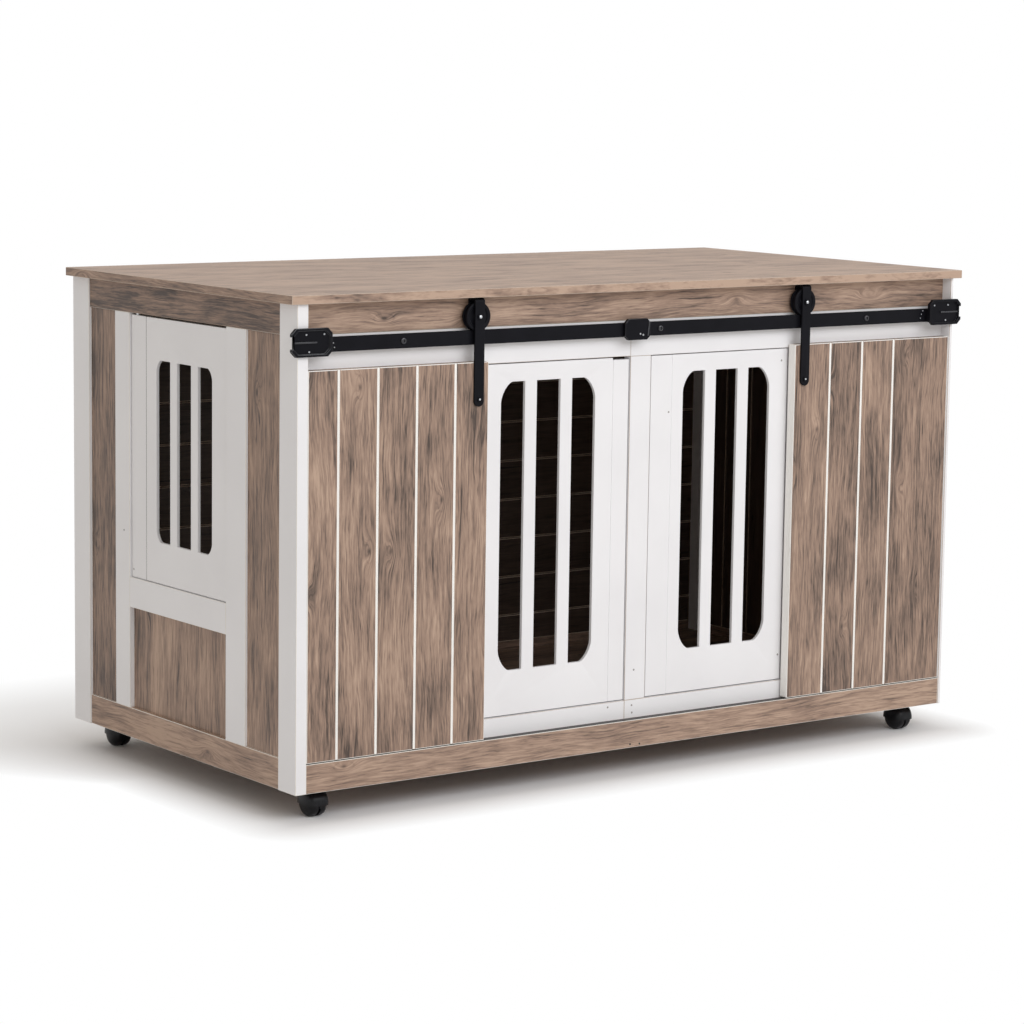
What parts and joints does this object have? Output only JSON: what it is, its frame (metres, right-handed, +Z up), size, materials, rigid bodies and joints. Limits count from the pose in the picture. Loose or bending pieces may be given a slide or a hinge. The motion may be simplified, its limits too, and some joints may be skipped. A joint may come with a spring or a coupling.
{
  "type": "dog crate end table",
  "caption": "Dog crate end table with a wood-look top, sliding barn doors over barred swing gates, a barred side gate and swivel casters.",
  "frame": {"origin": "on the floor, under the middle of the tabletop", "axes": "+X to the right seen from the front, +Y from the front to the back, +Z up"},
  "size_m": [1.2, 0.616, 0.7095],
  "materials": {
    "wood_laminate": "matt grey-brown oak laminate with dark grain and knots; cream lines in the plank grooves",
    "white_paint": "satin white paint",
    "black_steel": "satin black powder coat",
    "black_nylon": "satin black nylon",
    "zinc": "bright zinc plate"
  },
  "bodies": {
    "carcass": {"tabletop": "wood_laminate", "floor_panel": "wood_laminate", "back_panel": "wood_laminate", "back_top_rail": "wood_laminate", "back_bottom_rail": "wood_laminate", "right_top_rail": "wood_laminate", "right_bottom_rail": "wood_laminate", "right_side_panel": "wood_laminate", "left_top_rail": "wood_laminate", "left_bottom_rail": "wood_laminate", "left_front_strip": "wood_laminate", "left_back_strip": "wood_laminate", "left_lower_panel": "wood_laminate", "front_frieze": "wood_laminate", "front_bottom_rail": "wood_laminate", "left_infill": "wood_laminate", "right_infill": "wood_laminate", "left_front_post": "white_paint", "left_back_post": "white_paint", "right_front_post": "white_paint", "right_back_post": "white_paint", "left_front_stile": "white_paint", "left_back_stile": "white_paint", "left_crosspiece": "white_paint", "front_header_left": "white_paint", "front_header_right": "white_paint", "front_sill_left": "white_paint", "front_sill_right": "white_paint", "left_jamb": "white_paint", "right_jamb": "white_paint", "centre_mullion": "white_paint", "rail_left": "black_steel", "rail_right": "black_steel", "centre_bracket": "black_steel", "left_end_stop": "black_steel", "right_end_stop": "black_steel"},
    "left_door": {"left_barn_door": "wood_laminate", "left_hanger": "black_steel"},
    "left_roller": {"left_roller": "black_steel"},
    "left_gate": {"left_gate": "white_paint", "left_gate_lower_pin": "zinc", "left_gate_upper_pin": "zinc"},
    "right_door": {"right_barn_door": "wood_laminate", "right_hanger": "black_steel"},
    "right_roller": {"right_roller": "black_steel"},
    "right_gate": {"right_gate": "white_paint", "right_gate_lower_pin": "zinc", "right_gate_upper_pin": "zinc"},
    "side_gate": {"side_gate": "white_paint", "side_gate_strip": "white_paint", "side_gate_lower_pin": "zinc", "side_gate_upper_pin": "zinc"},
    "left_front_caster": {"left_front_caster_hood": "black_nylon"},
    "left_front_caster_wheel": {"left_front_caster_wheel": "black_nylon"},
    "left_back_caster": {"left_back_caster_hood": "black_nylon"},
    "left_back_caster_wheel": {"left_back_caster_wheel": "black_nylon"},
    "right_front_caster": {"right_front_caster_hood": "black_nylon"},
    "right_front_caster_wheel": {"right_front_caster_wheel": "black_nylon"},
    "right_back_caster": {"right_back_caster_hood": "black_nylon"},
    "right_back_caster_wheel": {"right_back_caster_wheel": "black_nylon"}
  },
  "joints": [
    {"name": "left_door_slide", "type": "slide", "parent": "carcass", "child": "left_door", "axis": [1, 0, 0], "range_m": [0, 0.239]},
    {"name": "left_roller_spin", "type": "hinge", "parent": "left_door", "child": "left_roller", "pos_m": [-0.2955, -0.29445, 0.671], "axis": [0, 1, 0], "continuous": true},
    {"name": "left_gate_swing", "type": "hinge", "parent": "carcass", "child": "left_gate", "pos_m": [-0.268, -0.2755, 0.355], "axis": [0, 0, 1], "range_deg": [-90, 0]},
    {"name": "right_door_slide", "type": "slide", "parent": "carcass", "child": "right_door", "axis": [-1, 0, 0], "range_m": [0, 0.2765]},
    {"name": "right_roller_spin", "type": "hinge", "parent": "right_door", "child": "right_roller", "pos_m": [0.293, -0.29445, 0.671], "axis": [0, -1, 0], "continuous": true},
    {"name": "right_gate_swing", "type": "hinge", "parent": "carcass", "child": "right_gate", "pos_m": [0.268, -0.2755, 0.355], "axis": [0, 0, -1], "range_deg": [-90, 0]},
    {"name": "side_gate_swing", "type": "hinge", "parent": "carcass", "child": "side_gate", "pos_m": [-0.5785, 0.1332, 0.464], "axis": [0, 0, 1], "range_deg": [-90, 0]},
    {"name": "left_front_caster_swivel", "type": "hinge", "parent": "carcass", "child": "left_front_caster", "pos_m": [-0.536, -0.254, 0.055], "axis": [0, 0, 1], "continuous": true},
    {"name": "left_front_caster_roll", "type": "hinge", "parent": "left_front_caster", "child": "left_front_caster_wheel", "pos_m": [-0.536, -0.264, 0.019], "axis": [1, 0, 0], "continuous": true},
    {"name": "left_back_caster_swivel", "type": "hinge", "parent": "carcass", "child": "left_back_caster", "pos_m": [-0.536, 0.26, 0.055], "axis": [0, 0, 1], "continuous": true},
    {"name": "left_back_caster_roll", "type": "hinge", "parent": "left_back_caster", "child": "left_back_caster_wheel", "pos_m": [-0.536, 0.27, 0.019], "axis": [1, 0, 0], "continuous": true},
    {"name": "right_front_caster_swivel", "type": "hinge", "parent": "carcass", "child": "right_front_caster", "pos_m": [0.536, -0.254, 0.055], "axis": [0, 0, 1], "continuous": true},
    {"name": "right_front_caster_roll", "type": "hinge", "parent": "right_front_caster", "child": "right_front_caster_wheel", "pos_m": [0.536, -0.264, 0.019], "axis": [1, 0, 0], "continuous": true},
    {"name": "right_back_caster_swivel", "type": "hinge", "parent": "carcass", "child": "right_back_caster", "pos_m": [0.536, 0.26, 0.055], "axis": [0, 0, 1], "continuous": true},
    {"name": "right_back_caster_roll", "type": "hinge", "parent": "right_back_caster", "child": "right_back_caster_wheel", "pos_m": [0.536, 0.27, 0.019], "axis": [1, 0, 0], "continuous": true}
  ],
  "couplings": [
    {"joint": "left_roller_spin", "follows": "left_door_slide", "rad_per_m": 54.945},
    {"joint": "right_roller_spin", "follows": "right_door_slide", "rad_per_m": 54.945}
  ]
}
